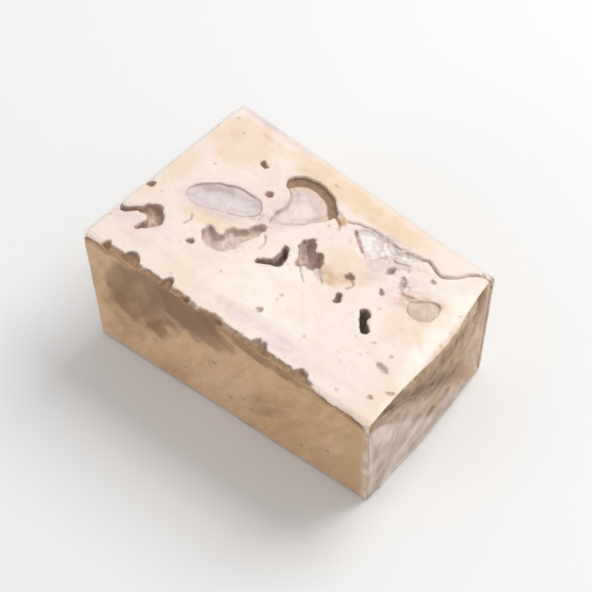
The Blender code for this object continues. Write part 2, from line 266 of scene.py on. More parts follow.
# Darker and olive patches on the wafers, as x, z, length, height, turn and strength, and pits, as (x, z).
FRONT_DARK_PATCHES = [(-9.5, 24.6, 27, 14, -4, 0.95), (-20.0, 18.6, 21, 19, 35, 0.8), (9.0, 27.0, 28, 5, 0, 0.65),
                (-24.0, 10.0, 10, 12, 60, 0.35), (9.0, 12.0, 16, 9, 50, 0.3)]
BACK_DARK_PATCHES = [(-12.0, 20.0, 16, 9, 20, 0.6), (14.0, 9.0, 20, 8, -15, 0.4), (22.0, 25.0, 12, 5, 0, 0.5)]
OLIVE_STAINS = [(28.2, 14.0, 6, 26, -4, 1.0), (20.0, 6.0, 16, 7, 8, 0.5), (-26.0, 22.0, 8, 9, 30, 0.4)]
WAFER_PITS = [(-17.2, 8.6), (-10.4, 6.2), (0.3, 5.9), (3.4, 8.4), (5.2, 6.2), (16.6, 5.6), (22.4, 9.0),
              (-3.0, 14.0)]
WAFER_PIT = 0.4
RIB_PITCH = 1.4
RIB_HEIGHT = 0.025
WAFER_STEPS = (0.22, 0.25, 0.25)

# The folded film at an end: how far down from the top, or in from a side, and where its edges are across.
TOP_FLAP_LEFT = [(-1.0, -20.9), (0.4, -20.4), (2.8, -15.4), (5.7, -10.2), (9.2, -5.0), (12.8, 0.4),
                 (16.2, 5.4), (20.4, 9.6), (25.0, 12.4)]
TOP_FLAP_RIGHT = [(-1.0, 20.9), (0.4, 20.6), (3.5, 19.0), (8.4, 17.2), (13.0, 16.6), (18.0, 17.4),
                  (25.0, 18.2)]
BOTTOM_FLAP_LEFT = [(-1.0, -20.9), (0.4, -20.6), (8.6, -12.6)]
BOTTOM_FLAP_RIGHT = [(-1.0, 20.9), (0.4, 20.6), (8.6, 13.0)]
FRONT_TUCK_LOW = [(-1.0, 0.1), (33.6, 0.4)]
FRONT_TUCK_HIGH = [(-1.0, 28.1), (1.0, 27.9), (5.8, 27.3), (11.0, 24.6), (16.2, 21.2), (21.6, 17.6),
                   (26.6, 14.0), (31.0, 9.6), (33.6, 6.0)]
BACK_TUCK_LOW = [(-1.0, 0.1), (0.5, 0.3), (3.0, 2.5), (6.0, 6.2), (8.5, 9.6), (10.5, 12.0)]
BACK_TUCK_HIGH = [(-1.0, 28.1), (0.5, 27.9), (3.0, 25.4), (6.0, 21.0), (8.5, 16.4), (10.5, 12.9)]

# The layers of an end, innermost first: the face that each starts on, its edges, how far in it is, how milky
# it is, and the corners that its creases run out from.
FOLDS = {
    "tuck_front": ("front", FRONT_TUCK_LOW, FRONT_TUCK_HIGH, 0.38, 0.72, [(-21, 28), (-21, 0)]),
    "tuck_back": ("back", BACK_TUCK_LOW, BACK_TUCK_HIGH, 0.33, 0.22, [(21, 28), (21, 0)]),
    "flap_low": ("bottom", BOTTOM_FLAP_LEFT, BOTTOM_FLAP_RIGHT, 0.27, 0.20, [(-21, 0), (21, 0)]),
    "flap_top": ("top", TOP_FLAP_LEFT, TOP_FLAP_RIGHT, 0.20, 0.05, [(-21, 28), (21, 28)]),
}
END_SIDES = {-1: ("left", 160), 1: ("right", 70)}
FOLD_ROUND = 0.35
FLAP_START = -1.0
FLAP_POINTS = 120
FILM_STEP = 0.35
FILM_OUT = 0.5

# Colours as they show on screen, from 0 to 255.
COLOURS = {
    "cream": (250, 235, 226), "warm cream": (246, 228, 212), "dull cream": (238, 219, 205),
    # The lavender on the next line is partly painted shade and film reflection.
    "butter": (237, 212, 181), "lavender": (222, 204, 205), "tan": (212, 176, 144), "end": (206, 169, 124),
    # The brown on the next line, and the end colour on the line above, are painted shade on the block's ends.
    "brown": (120, 82, 46), "grey floor": (230, 211, 209), "white floor": (255, 248, 245),
    # The grey floor on the line above is partly painted shade and film reflection, and the dark floor on the
    # next line is painted shade in deep holes.
    "pink floor": (209, 181, 163), "dark floor": (100, 72, 54), "light floor": (240, 220, 204),
    # The rim colour on the next line and the crust rim after it are painted shade along pocket edges, cracks
    # and the front edge.
    "crust": (208, 172, 138), "dark crust": (176, 140, 108), "rim": (150, 122, 102),
    "crust rim": (122, 93, 68), "speck": (178, 148, 120),
    "wafer": (221, 183, 144), "deep wafer": (204, 163, 120), "fleck": (232, 200, 166),
    # The dark patch and shade colour on the next line is partly painted shade, and the rib shade is painted
    # shade in the rib valleys.
    "streak": (184, 146, 109), "dark patch and shade": (128, 90, 56), "olive": (192, 163, 110), "rib_shade": (150, 116, 84),
    "pit": (124, 92, 64), "pore": (166, 128, 94),
    "flesh": (224, 208, 206), "grey flesh": (198, 179, 177), "pale flesh": (229, 218, 219),
    "white flesh": (250, 236, 230), "warm flesh": (236, 209, 192), "creamy flesh": (220, 196, 176),
    "dull flesh": (200, 176, 158), "inner line": (180, 160, 154), "skin": (190, 164, 150),
    # The thick skin colours on the next line are partly painted shadow.
    "dark skin": (146, 118, 98), "thick skin": (168, 136, 108), "dark thick skin": (128, 96, 72),
    "milky film": (240, 222, 208),
}
# What one layer of film lets through where it is clear and where it carries painted shade, and the tint of
# its gloss.
FILM_CLEAR = (0.985, 0.983, 0.98, 1.0)
FILM_SHADE_TINT = (0.70, 0.54, 0.36, 1.0)
FILM_GLOSS = (1, 0.96, 0.91, 1)

# The camera, fitted to the block's corners in the photo.
CAMERA_AZIMUTH = 35.9
CAMERA_ELEVATION = 54.0
CAMERA_ROLL = 2.9
CAMERA_DISTANCE = 350.0
PIXELS_PER_MM = 5.6
FRAME_PIXELS = 592
SENSOR = 36.0
AIM_HEIGHT = 14.5

# Where small lights show in the film on the top face, and their sizes in metres.
GLINTS = [((8.0, -14.2), (0.040, 0.010)), ((26.6, 0.6), (0.010, 0.008))]
GLINT_DISTANCE = 0.55
GLINT_STRENGTH = 70.0

# The other lights, in metres: where each is, its size, its power in watts and its tint.
LIGHTS = {
    "key": ((0.12, 0.42, 0.60), (0.45, 0.45), 3.5, (1.0, 0.985, 0.965)),
    "fill": ((-0.35, -0.70, 0.22), (0.50, 0.40), 1.1, (1.0, 0.98, 0.95)),
}
WORLD_COLOUR = (0.98, 0.99, 1, 1)
WORLD_STRENGTH = 0.55
FLOOR_HALF = 3.0
FLOOR_COLOUR = (0.86, 0.86, 0.86, 1)

# Cells before the noise repeats, more lines than any box has along an axis, and more than any distance.
NOISE_CELLS = 64
MOST_LINES = 4096
FAR = 1e9


def in_block(points):
    """Where points of the straight block are in the hand-cut one.

    Its top has slumped along the back edge, and its right end bulges and droops a little."""
    x, y, z = points.T
    along = (x / LENGTH + 0.5)[:, None]
    across = (y / WIDTH + 0.5)[:, None]
    up = (z / HEIGHT)[:, None]
    moved = np.zeros_like(points)
    for (i, j, k), corner in CORNERS.items():
        share = (along if i else 1 - along) * (across if j else 1 - across) * (up if k else 1 - up)
        moved += share * np.array(corner)
    into_slump = np.maximum(0.0, (y - WIDTH / 2 + BACK_SLUMP_REACH) / BACK_SLUMP_REACH)
    moved[:, 2] -= up[:, 0] ** 2 * BACK_SLUMP * into_slump ** 2
    hump = np.exp(-((y - END_BULGE_Y) / END_BULGE_REACH) ** 2)
    moved[:, 0] += END_BULGE * hump * (0.4 + 0.6 * up[:, 0]) * along[:, 0] ** 8
    moved[:, 2] -= END_DROOP * hump * up[:, 0] ** 2 * along[:, 0] ** 24
    return moved


def smooth(low, high, value):
    t = np.clip((value - low) / (high - low), 0.0, 1.0)
    return t * t * (3 - 2 * t)


def noise(x, y, cell, seed):
    """Smooth noise from -1 to 1 over points of a plane."""
    table = np.random.default_rng(seed).uniform(-1, 1, (NOISE_CELLS, NOISE_CELLS))
    column, row = np.floor(x / cell).astype(int), np.floor(y / cell).astype(int)
    fx, fy = x / cell - column, y / cell - row
    fx, fy = fx * fx * (3 - 2 * fx), fy * fy * (3 - 2 * fy)

    def corner(i, j):
        return table[(column + i) % NOISE_CELLS, (row + j) % NOISE_CELLS]

    low = corner(0, 0) * (1 - fx) + corner(1, 0) * fx
    high = corner(0, 1) * (1 - fx) + corner(1, 1) * fx
    return low * (1 - fy) + high * fy


def wave(value, cell, seed):
    """Smooth noise from -1 to 1 along one coordinate."""
    return noise(value, value * 0, cell, seed)


def ridges(value, seed):
    """Sharp creases of uneven height, from 0 to 1, along one coordinate."""
    return (1 - np.abs(noise(value, value * 0 + 0.5, 1.0, seed))) ** 3


def to_segment(x, y, a, b):
    """How far each point is from the straight line between two points."""
    dx, dy = b[0] - a[0], b[1] - a[1]
    t = np.clip(((x - a[0]) * dx + (y - a[1]) * dy) / (dx * dx + dy * dy), 0, 1)
    return np.hypot(x - a[0] - t * dx, y - a[1] - t * dy)


def inside(x, y, outline):
    """How far each point is inside an outline, negative outside it."""
    nearest = np.full(x.shape, FAR)
    within = np.zeros(x.shape, bool)
    for a, b in zip(outline, np.roll(outline, -1, axis=0)):
        nearest = np.minimum(nearest, to_segment(x, y, a, b))
        if a[1] != b[1]:
            crossing = a[0] + (y - a[1]) * (b[0] - a[0]) / (b[1] - a[1])
            within ^= ((a[1] > y) != (b[1] > y)) & (x < crossing)
    return np.where(within, nearest, -nearest)


def turned(angle):
    """The cosine and sine of an angle in degrees."""
    return math.cos(math.radians(angle)), math.sin(math.radians(angle))


def oval_reach(x, y, oval):
    """1 at an oval's middle, 0 on its outline and negative outside it."""
    cx, cy, length, width, turn = oval[:5]
    c, s = turned(turn)
    along = ((x - cx) * c + (y - cy) * s) / (length / 2)
    across = (-(x - cx) * s + (y - cy) * c) / (width / 2)
    return 1 - np.hypot(along, across)


def smooth_curve(points, steps, closed):
    """A smooth curve through the points, with steps sides between one point and the next."""
    points = np.array(points, float)
    if not closed:
        points = np.concatenate([points[:1] * 2 - points[1:2], points, points[-1:] * 2 - points[-2:-1]])
    before, end, after = (np.roll(points, shift, axis=0)[:, None] for shift in (1, -1, -2))
    start = points[:, None]
    t = (np.arange(steps) / steps)[None, :, None]
    bend = (end - before) * t + (2 * before - 5 * start + 4 * end - after) * t ** 2
    bend = bend + (3 * start - before - 3 * end + after) * t ** 3
    curve = start + bend / 2
    if closed:
        return curve.reshape(-1, 2)
    return np.concatenate([curve[1:-2].reshape(-1, 2), points[-2:-1]])


def to_route(x, y, route):
    """How far each point is from a smooth line through the route's points."""
    away = np.full(x.shape, FAR)
    line = smooth_curve(route, 4, closed=False)
    for a, b in zip(line, line[1:]):
        away = np.minimum(away, to_segment(x, y, a, b))
    return away


def hole_outline(x, y, length, width, turn, seed):
    """An uneven oval with nine corners."""
    angle = np.linspace(0, 2 * np.pi, 9, endpoint=False)
    reach = np.random.default_rng(seed).uniform(0.82, 1.12, 9)
    along, across = reach * length / 2 * np.cos(angle), reach * width / 2 * np.sin(angle)
    c, s = turned(turn)
    return np.stack([x + along * c - across * s, y + along * s + across * c], axis=1)


def turned_copy(outline, x, y, turn):
    """The outline about its own middle, turned and put at x, y."""
    c, s = turned(turn)
    about = np.array(outline) - np.mean(outline, axis=0)
    return about @ np.array([[c, s], [-s, c]]) + (x, y)


def spaced(low, high, step):
    """Evenly spaced values from low to high, about step apart."""
    return np.linspace(low, high, max(2, int(round((high - low) / step)) + 1))


def box_surface(lines):
    """Points and quads over a box's six faces, at the given lines along X, Y and Z, joined at its edges.

    It also gives the numbers of the lines that each point is on."""
    counts = [len(line) - 1 for line in lines]
    keys = []
    for axis in range(3):
        a, b = (axis + 1) % 3, (axis + 2) % 3
        first, second = np.meshgrid(np.arange(counts[a]), np.arange(counts[b]), indexing="ij")
        ring = ((0, 0), (1, 0), (1, 1), (0, 1))
        for end, order in ((counts[axis], ring), (0, ring[::-1])):
            face = np.zeros((first.size, 4, 3), int)
            for corner, (da, db) in enumerate(order):
                face[:, corner, axis] = end
                face[:, corner, a] = first.ravel() + da
                face[:, corner, b] = second.ravel() + db
            keys.append(face)
    keys = np.concatenate(keys)
    flat = (keys[..., 0] * MOST_LINES + keys[..., 1]) * MOST_LINES + keys[..., 2]
    unique, quads = np.unique(flat, return_inverse=True)
    upper, third = np.divmod(unique, MOST_LINES)
    places = np.stack([*np.divmod(upper, MOST_LINES), third], axis=1)
    points = np.stack([np.asarray(line)[places[:, n]] for n, line in enumerate(lines)], axis=1)
    return points.astype(float), quads.reshape(-1, 4), places


def on_last(places, axis):
    """Which points are on the last of the lines along an axis."""
    return places[:, axis] == places[:, axis].max()


def rounded(points, low, high, radius):
    """Points of a box's surface moved onto the box with round edges."""
    core = np.clip(points, np.array(low) + radius, np.array(high) - radius)
    away = points - core
    reach = np.linalg.norm(away, axis=1, keepdims=True)
    return core + away / np.maximum(reach, 1e-9) * radius


def add_object(name, data):
    obj = bpy.data.objects.new(name, data)
    bpy.context.scene.collection.objects.link(obj)
    return obj


def make_piece(name, points, faces, material, attributes, replaces=()):
    """A smooth mesh in the scene, with a value at each point for every attribute that its material reads."""
    mesh = bpy.data.meshes.new(name)
    mesh.from_pydata((np.asarray(points) * MM).tolist(), [], [list(face) for face in faces])
    mesh.materials.append(material)
    for key, values in attributes.items():
        layer = mesh.attributes.new(key, "FLOAT", "POINT")
        layer.data.foreach_set("value", np.asarray(values, np.float32))
    mesh.shade_smooth()
    obj = add_object(name, mesh)
    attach(obj, "root")
    if replaces:
        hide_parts(*replaces)
    return obj


# Materials

def new_material(name):
    material = bpy.data.materials.new(name)
    material.use_nodes = True
    material.node_tree.nodes.clear()
    return material, material.node_tree


def put(tree, socket, value):
    if isinstance(value, bpy.types.NodeSocket):
        tree.links.new(value, socket)
    else:
        socket.default_value = value


def node(tree, kind, settings=None, **inputs):
    made = tree.nodes.new(kind)
    for key, value in (settings or {}).items():
        setattr(made, key, value)
    for key, value in inputs.items():
        put(tree, made.inputs[key.replace("_", " ")], value)
    return made


def colour(name):
    """One of the colours as the linear value that a shader takes."""
    return (*(((c / 255 + 0.055) / 1.055) ** 2.4 for c in COLOURS[name]), 1.0)


def attribute(tree, name):
    return node(tree, "ShaderNodeAttribute", {"attribute_name": name}).outputs["Fac"]


def place(tree, stretch=(1, 1, 1), turn=(0, 0, 0)):
    """Where a point is, for a texture that is stretched along axes turned by some degrees."""
    where = node(tree, "ShaderNodeNewGeometry").outputs["Position"]
    angles = [math.radians(angle) for angle in turn]
    made = node(tree, "ShaderNodeMapping", {"vector_type": "TEXTURE"}, Vector=where, Scale=stretch,
                Rotation=angles)
    return made.outputs["Vector"]


def noise_node(tree, scale, detail=2.0, rough=0.5, at=None):
    return node(tree, "ShaderNodeTexNoise", Scale=scale, Detail=detail, Roughness=rough,
                Vector=at or place(tree)).outputs["Fac"]


def between(tree, value, low, high):
    """value as it goes from low to high, spread smoothly over 0 to 1."""
    made = node(tree, "ShaderNodeMapRange", {"interpolation_type": "SMOOTHSTEP"}, Value=value)
    made.inputs["From Min"].default_value = low
    made.inputs["From Max"].default_value = high
    return made.outputs["Result"]


def cloud(tree, low, high, scale, detail=2.0, rough=0.5, at=None):
    """Soft patches of noise: 0 where it is under low, 1 where it is over high."""
    return between(tree, noise_node(tree, scale, detail, rough, at), low, high)


def mix(tree, share, first, second):
    """first where share is 0, second where it is 1."""
    made = node(tree, "ShaderNodeMix", {"data_type": "RGBA"})
    for index, value in ((0, share), (6, first), (7, second)):
        put(tree, made.inputs[index], value)
    return made.outputs[2]


def maths(tree, operation, first, second=0.0):
    made = node(tree, "ShaderNodeMath", {"operation": operation})
    put(tree, made.inputs[0], first)
    put(tree, made.inputs[1], second)
    return made.outputs[0]


def times(tree, first, second):
    return maths(tree, "MULTIPLY", first, second)


def plus(tree, first, second):
    return maths(tree, "ADD", first, second)


def less(tree, value):
    return maths(tree, "SUBTRACT", 1.0, value)


def tint(tree, base, name, share, amount=1.0):
    """The base with one of the colours over it: amount of it at most, where share is 1."""
    return mix(tree, times(tree, share, amount), base, colour(name))


def broken(tree, name, texture, share, least):
    """An attribute broken up by a texture. Where the texture is 0, least of it stays."""
    return times(tree, attribute(tree, name), plus(tree, times(tree, texture, share), least))


def dots(tree, scale, low, high):
    """Small round dots: 1 within low of a cell's middle, 0 beyond high."""
    cells = node(tree, "ShaderNodeTexVoronoi", Scale=scale, Vector=place(tree)).outputs["Distance"]
    return less(tree, between(tree, cells, low, high))


def bump(tree, height, strength, distance):
    made = node(tree, "ShaderNodeBump", Height=height, Strength=strength, Distance=distance)
    return made.outputs["Normal"]


def blend(tree, share, first, second):
    """Two shaders in one: first where share is 0, second where it is 1."""
    made = node(tree, "ShaderNodeMixShader", Fac=share)
    tree.links.new(first.outputs[0], made.inputs[1])
    tree.links.new(second.outputs[0], made.inputs[2])
    return made


def shown(tree, shader):
    output = node(tree, "ShaderNodeOutputMaterial")
    tree.links.new(shader.outputs[0], output.inputs["Surface"])


def nougat_material():
    """Cream with patches of other tints, the pockets' floors and rims, and the crust along the front. The
    rims, the darker floors and the tints on the ends are painted shade.
    """
    material, tree = new_material("nougat_cream")
    uneven = cloud(tree, 0.3, 0.7, 330, 3, 0.6)
    streaks = cloud(tree, 0.38, 0.60, 420, 4, 0.65, place(tree, (2.2, 1, 1), (0, 0, 24)))
    cream = mix(tree, cloud(tree, 0.40, 0.64, 60, 3), colour("cream"), colour("warm cream"))
    cream = tint(tree, cream, "dull cream", uneven, 0.3)
    # The end and brown tints are painted shade on the block's ends, broken up by the cloud on the next line.
    worn = cloud(tree, 0.35, 0.62, 140, 4, 0.6)
    for name, texture, share, least in (("butter", uneven, 0.5, 0.6), ("lavender", streaks, 0.85, 0.15),
                                        ("tan", uneven, 1.0, 0.3), ("end", worn, 0.5, 0.5),
                                        ("brown", uneven, 0.4, 0.6)):
        cream = tint(tree, cream, name, broken(tree, name, texture, share, least))
    # The pockets' floors go with the tone from lavender grey through tan to dark brown. The lavender grey is
    # partly painted shade and film reflection, and the dark brown is painted shade in deep holes.
    tone = attribute(tree, "tone")
    patchy = cloud(tree, 0.35, 0.56, 620, 4, 0.65, place(tree, (1.8, 1, 1), (0, 0, -25)))
    floor = mix(tree, patchy, colour("grey floor"), colour("white floor"))
    floor = tint(tree, floor, "pink floor", between(tree, tone, 0.0, 0.5))
    floor = tint(tree, floor, "dark floor", between(tree, tone, 0.5, 1.0))
    floor = tint(tree, floor, "light floor", cloud(tree, 0.40, 0.62, 800, 3, 0.6), 0.2)
    surface = mix(tree, attribute(tree, "hollow"), cream, floor)
    crust = attribute(tree, "crust")
    surface = mix(tree, crust, surface, mix(tree, uneven, colour("crust"), colour("dark crust")))
    # Painted shade: the rim colours darken the edges of the pockets, crumbs, cracks and nut sockets, and the
    # torn front edge.
    rim = broken(tree, "rim", cloud(tree, 0.3, 0.6, 1100, 2), 0.6, 0.4)
    surface = mix(tree, rim, surface, mix(tree, crust, colour("rim"), colour("crust rim")))
    specks = times(tree, dots(tree, 380.0, 0.08, 0.2), cloud(tree, 0.58, 0.66, 180, 1))
    surface = tint(tree, surface, "speck", specks, 0.4)
    grain = plus(tree, noise_node(tree, 1500, 3, 0.6), times(tree, noise_node(tree, 260, 2), 2.5))
    shader = node(tree, "ShaderNodeBsdfPrincipled", Base_Color=surface, Roughness=0.5,
                  Normal=bump(tree, grain, 0.45, 0.0002), Subsurface_Weight=0.10, Subsurface_Scale=0.0012)
    shader.inputs["Specular IOR Level"].default_value = 0.3
    shown(tree, shader)
    return material


def wafer_material():
    """Tan wafer with leaning streaks, dark and olive patches, pits and pores, and painted shade under its top
    edge and in the valleys between its ribs.
    """
    material, tree = new_material("wafer_tan")
    lean = (0, 30, 0)
    cloudy = cloud(tree, 0.36, 0.64, 60, 4, 0.6, place(tree, (1, 1, 1.8), lean))
    base = mix(tree, cloudy, colour("wafer"), colour("deep wafer"))
    flecks = cloud(tree, 0.42, 0.68, 700, 3, 0.65, place(tree, (1, 1, 3.5), lean))
    base = tint(tree, base, "fleck", flecks, 0.4)
    streaks = noise_node(tree, 260, 4, 0.6, place(tree, (1, 1, 6), lean))
    base = tint(tree, base, "streak", between(tree, streaks, 0.50, 0.66), 0.4)
    uneven = plus(tree, noise_node(tree, 200, 4, 0.65, place(tree, (1, 1, 2.5), lean)), -0.5)
    # The dark attribute brings both the darker patches and the painted shade under the top edge.
    in_dark = plus(tree, attribute(tree, "dark"), times(tree, uneven, 1.3))
    base = tint(tree, base, "dark patch and shade", between(tree, in_dark, 0.05, 1.0), 0.92)
    in_olive = plus(tree, attribute(tree, "olive"), uneven)
    base = tint(tree, base, "olive", between(tree, in_olive, 0.1, 0.8), 0.6)
    # Painted shade in the valleys between the ribs.
    base = tint(tree, base, "rib_shade", attribute(tree, "rib_shade"), 0.07)
    base = tint(tree, base, "pit", attribute(tree, "pit"))
    base = tint(tree, base, "pore", dots(tree, 900.0, 0.1, 0.3), 0.3)
    grain = plus(tree, noise_node(tree, 1900, 3, 0.65), times(tree, streaks, 2.0))
    shader = node(tree, "ShaderNodeBsdfPrincipled", Base_Color=base, Roughness=0.72,
                  Normal=bump(tree, grain, 0.35, 0.00012))
    shown(tree, shader)
    return material


def almond_material():
    """Pale cut flesh with a thin broken line of skin round it, and a thick band along one side, partly skin
    and partly painted shadow.
    """
    material, tree = new_material("almond_cut")
    cloudy = cloud(tree, 0.38, 0.62, 260, 4, 0.6, place(tree, (2.2, 1, 1), (0, 0, 24)))
    flesh = mix(tree, cloudy, colour("flesh"), colour("grey flesh"))
    for name in ("pale", "white", "warm"):
        flesh = tint(tree, flesh, f"{name} flesh", attribute(tree, name))
    creamy = attribute(tree, "creamy")
    flesh = mix(tree, creamy, flesh, mix(tree, cloudy, colour("creamy flesh"), colour("dull flesh")))
    wobble = times(tree, plus(tree, noise_node(tree, 500, 3, 0.6), -0.5), 0.8)
    from_edge = plus(tree, attribute(tree, "edge"), wobble)
    line = less(tree, between(tree, from_edge, ALMOND_OVERLAP + 0.06, ALMOND_OVERLAP + 0.42))
    patchy = cloud(tree, 0.36, 0.62, 150, 2)
    line = times(tree, line, plus(tree, times(tree, patchy, 0.55), 0.25))
    skin = mix(tree, noise_node(tree, 900, 2), colour("skin"), colour("dark skin"))
    surface = mix(tree, line, flesh, skin)
    inner = maths(tree, "ABSOLUTE", plus(tree, from_edge, -1.4))
    inner = times(tree, less(tree, between(tree, inner, 0.05, 0.5)), patchy)
    surface = tint(tree, surface, "inner line", times(tree, inner, less(tree, creamy)), 0.4)
    # The thick band is partly skin and partly painted shadow.
    thick = mix(tree, noise_node(tree, 700, 3), colour("thick skin"), colour("dark thick skin"))
    surface = mix(tree, attribute(tree, "arc"), surface, thick)
    relief = bump(tree, noise_node(tree, 900, 3, 0.6), 0.3, 0.0002)
    shader = node(tree, "ShaderNodeBsdfPrincipled", Base_Color=surface, Roughness=0.45, Normal=relief)
    shown(tree, shader)
    return material


def film_material():
    """Clear film. Light goes through but for what the glossy face reflects, and folded layers look milky. The
    milky haze is partly painted highlight along folds, edges and creases.
    """
    material, tree = new_material("film_clear")
    creases = node(tree, "ShaderNodeTexNoise", Scale=120.0, Detail=2.0, Distortion=0.8, Vector=place(tree))
    relief = bump(tree, creases.outputs["Fac"], 0.08, 0.0012)
    # Painted shade: where the shade attribute is 1, the film darkens what lies behind it.
    through = mix(tree, attribute(tree, "shade"), FILM_CLEAR, FILM_SHADE_TINT)
    clear = node(tree, "ShaderNodeBsdfTransparent", Color=through)
    gloss = node(tree, "ShaderNodeBsdfGlossy", Color=FILM_GLOSS, Roughness=0.15, Normal=relief)
    facing = node(tree, "ShaderNodeLayerWeight", Blend=0.5, Normal=relief).outputs["Facing"]
    share = plus(tree, times(tree, maths(tree, "POWER", facing, 5.0), 0.30), 0.025)
    both = blend(tree, times(tree, share, attribute(tree, "shine")), clear, gloss)
    milky = node(tree, "ShaderNodeBsdfDiffuse", Color=colour("milky film"))
    shown(tree, blend(tree, attribute(tree, "haze"), both, milky))
    return material


# The nougat

def pocket_field(x, y, pockets):
    """Depth, hollow, tone and rim of torn pockets at points of a face, and how far film sags into them. The
    rim is painted shade along each pocket's edge, darker for deeper pockets.
    """
    ragged_x = x + 0.20 * noise(x, y, 0.9, 11) + 0.10 * noise(x, y, 0.35, 12)
    ragged_y = y + 0.20 * noise(x, y, 0.9, 13) + 0.10 * noise(x, y, 0.35, 14)
    depth, hollow, tone, rim, sag = (np.zeros(x.shape) for _ in range(5))
    for deep, pocket_tone, wall, outline in pockets:
        outline = np.asarray(outline)
        low, high = outline.min(axis=0) - 1.5, outline.max(axis=0) + 1.5
        near = (x > low[0]) & (x < high[0]) & (y > low[1]) & (y < high[1])
        if not near.any():
            continue
        reach = inside(ragged_x[near], ragged_y[near], outline)
        floor = deep * (1 + 0.15 * noise(x[near], y[near], 0.8, 15))
        here = floor * smooth(-0.05, wall, reach)
        tone[near] = np.where(here > depth[near], pocket_tone, tone[near])
        depth[near] = np.maximum(depth[near], here)
        hollow[near] = np.maximum(hollow[near], smooth(-0.12, 0.12, reach))
        # Painted shade: the rim darkens a band along each pocket's edge, more for deeper pockets.
        strength = min(0.9, 0.1 + deep / 3)
        rim[near] = np.maximum(rim[near], strength * np.exp(-((reach - 0.12) / 0.22) ** 2))
        sag[near] = np.maximum(sag[near], smooth(0.1, 1.3, reach))
    return {"depth": depth, "hollow": hollow, "tone": tone, "rim": rim, "sag": sag}


def bubbles(face):
    """Small round pits scattered over a cut face. face is 0 for the top and 1 for the underside."""
    draws = np.random.default_rng(BUBBLE_SEED + face)
    pits = []
    for count in range(BUBBLES):
        x, y = (draws.uniform(*reach) for reach in BUBBLE_AREA)
        size = draws.uniform(*BUBBLE_SIZES)
        outline = hole_outline(x, y, size * 1.3, size, draws.uniform(0, 180), 100 + count)
        pits.append((size * 0.4, 0.2, 0.25, outline))
    return pits


def top_pockets():
    pockets = [(deep, tone, wall, smooth_curve(outline, 3, closed=True))
               for deep, tone, wall, outline in POCKETS.values()]
    for count, (x, y, length, width, turn, deep, tone) in enumerate(HOLES):
        pockets.append((deep, tone, HOLE_WALL, hole_outline(x, y, length, width, turn, count)))
    return pockets


def under_pockets():
    pockets = []
    for name, x, y, turn in UNDER_POCKETS:
        deep, tone, wall, outline = POCKETS[name]
        pockets.append((deep, tone, wall, smooth_curve(turned_copy(outline, x, y, turn), 3, closed=True)))
    draws = random.Random(UNDER_SEED)
    for count in range(UNDER_HOLES):
        x = draws.uniform(-LENGTH / 2 + UNDER_MARGIN, LENGTH / 2 - UNDER_MARGIN)
        y = draws.uniform(-WIDTH / 2 + UNDER_MARGIN, WIDTH / 2 - UNDER_MARGIN)
        length, width, turn = (draws.uniform(*ends) for ends in (UNDER_LENGTHS, UNDER_WIDTHS, (0, 180)))
        outline = hole_outline(x, y, length, width, turn, count)
        pockets.append((draws.uniform(*UNDER_DEPTHS), UNDER_TONE, HOLE_WALL, outline))
    return pockets


def patches(x, y, ovals):
    """How strongly soft patches colour each point, from 0 to 1."""
    share = np.zeros(x.shape)
    for oval in ovals:
        reach = oval_reach(x, y, oval) + 0.18 * noise(x, y, 2.2, 23)
        share = np.maximum(share, oval[5] * smooth(-0.15, 0.45, reach))
    return share


def chipped(x):
    """How far each x is into one of the front edge's chips, from 0 to 1."""
    share = np.zeros(x.shape)
    for middle, width, _ in CHIPS:
        share = np.maximum(share, 1 - ((x - middle) / (width / 2)) ** 2)
    return share


def front_edge(x):
    """The y of the torn line where the nougat ends and the wafer's upper edge begins."""
    line = np.interp(x, *np.transpose(FRONT_EDGE))
    for height, cell, seed in ((0.28, 2.6, 25), (0.12, 0.9, 26), (0.06, 0.4, 29)):
        line = line + height * wave(x, cell, seed)
    for middle, width, reach in CHIPS:
        across = 1 - ((x - middle) / (width / 2)) ** 2
        torn = FRONT_OUTER + reach * np.clip(across, 0, 1) ** 0.6 + 0.35 * wave(x, 0.7, 30)
        line = np.where(across > 0, np.maximum(line, torn), line)
    return line


